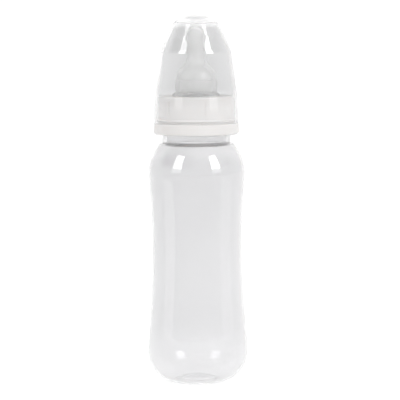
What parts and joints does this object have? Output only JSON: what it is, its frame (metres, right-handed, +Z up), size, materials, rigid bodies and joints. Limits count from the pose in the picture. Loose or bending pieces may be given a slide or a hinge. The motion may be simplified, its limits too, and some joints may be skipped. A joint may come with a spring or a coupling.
{
  "type": "baby bottle",
  "caption": "Slim waisted translucent baby bottle with screw ring, soft silicone nipple and clear dome-topped hood.",
  "frame": {"origin": "centre of the foot ring, on the surface the bottle stands on", "axes": "+Z up along the bottle's axis; -Y is the front, +Y the back, where the moulded volume scale is"},
  "size_m": [0.0562, 0.0562, 0.2067],
  "materials": {
    "bottle_plastic": "translucent natural polypropylene, satin",
    "silicone": "clear silicone, soft gloss",
    "ring_plastic": "white polypropylene, soft gloss",
    "clear_plastic": "clear moulded plastic, gloss"
  },
  "bodies": {
    "bottle": {"bottle": "bottle_plastic"},
    "nipple": {"nipple": "silicone"},
    "screw_ring": {"screw_ring": "ring_plastic"},
    "hood": {"hood": "clear_plastic"}
  },
  "joints": [
    {"name": "nipple_lift", "type": "slide", "parent": "bottle", "child": "nipple", "axis": [0, 0, 1], "range_m": [0, 0.00778]},
    {"name": "ring_screw", "type": "hinge", "parent": "nipple", "child": "screw_ring", "pos_m": [0, 0, 0.15], "axis": [0, 0, 1], "range_deg": [0, 700]},
    {"name": "hood_pull", "type": "slide", "parent": "screw_ring", "child": "hood", "axis": [0, 0, 1], "range_m": [0, 0.07]}
  ],
  "couplings": [
    {"joint": "nipple_lift", "follows": "ring_screw", "m_per_rad": 0.00063662}
  ]
}
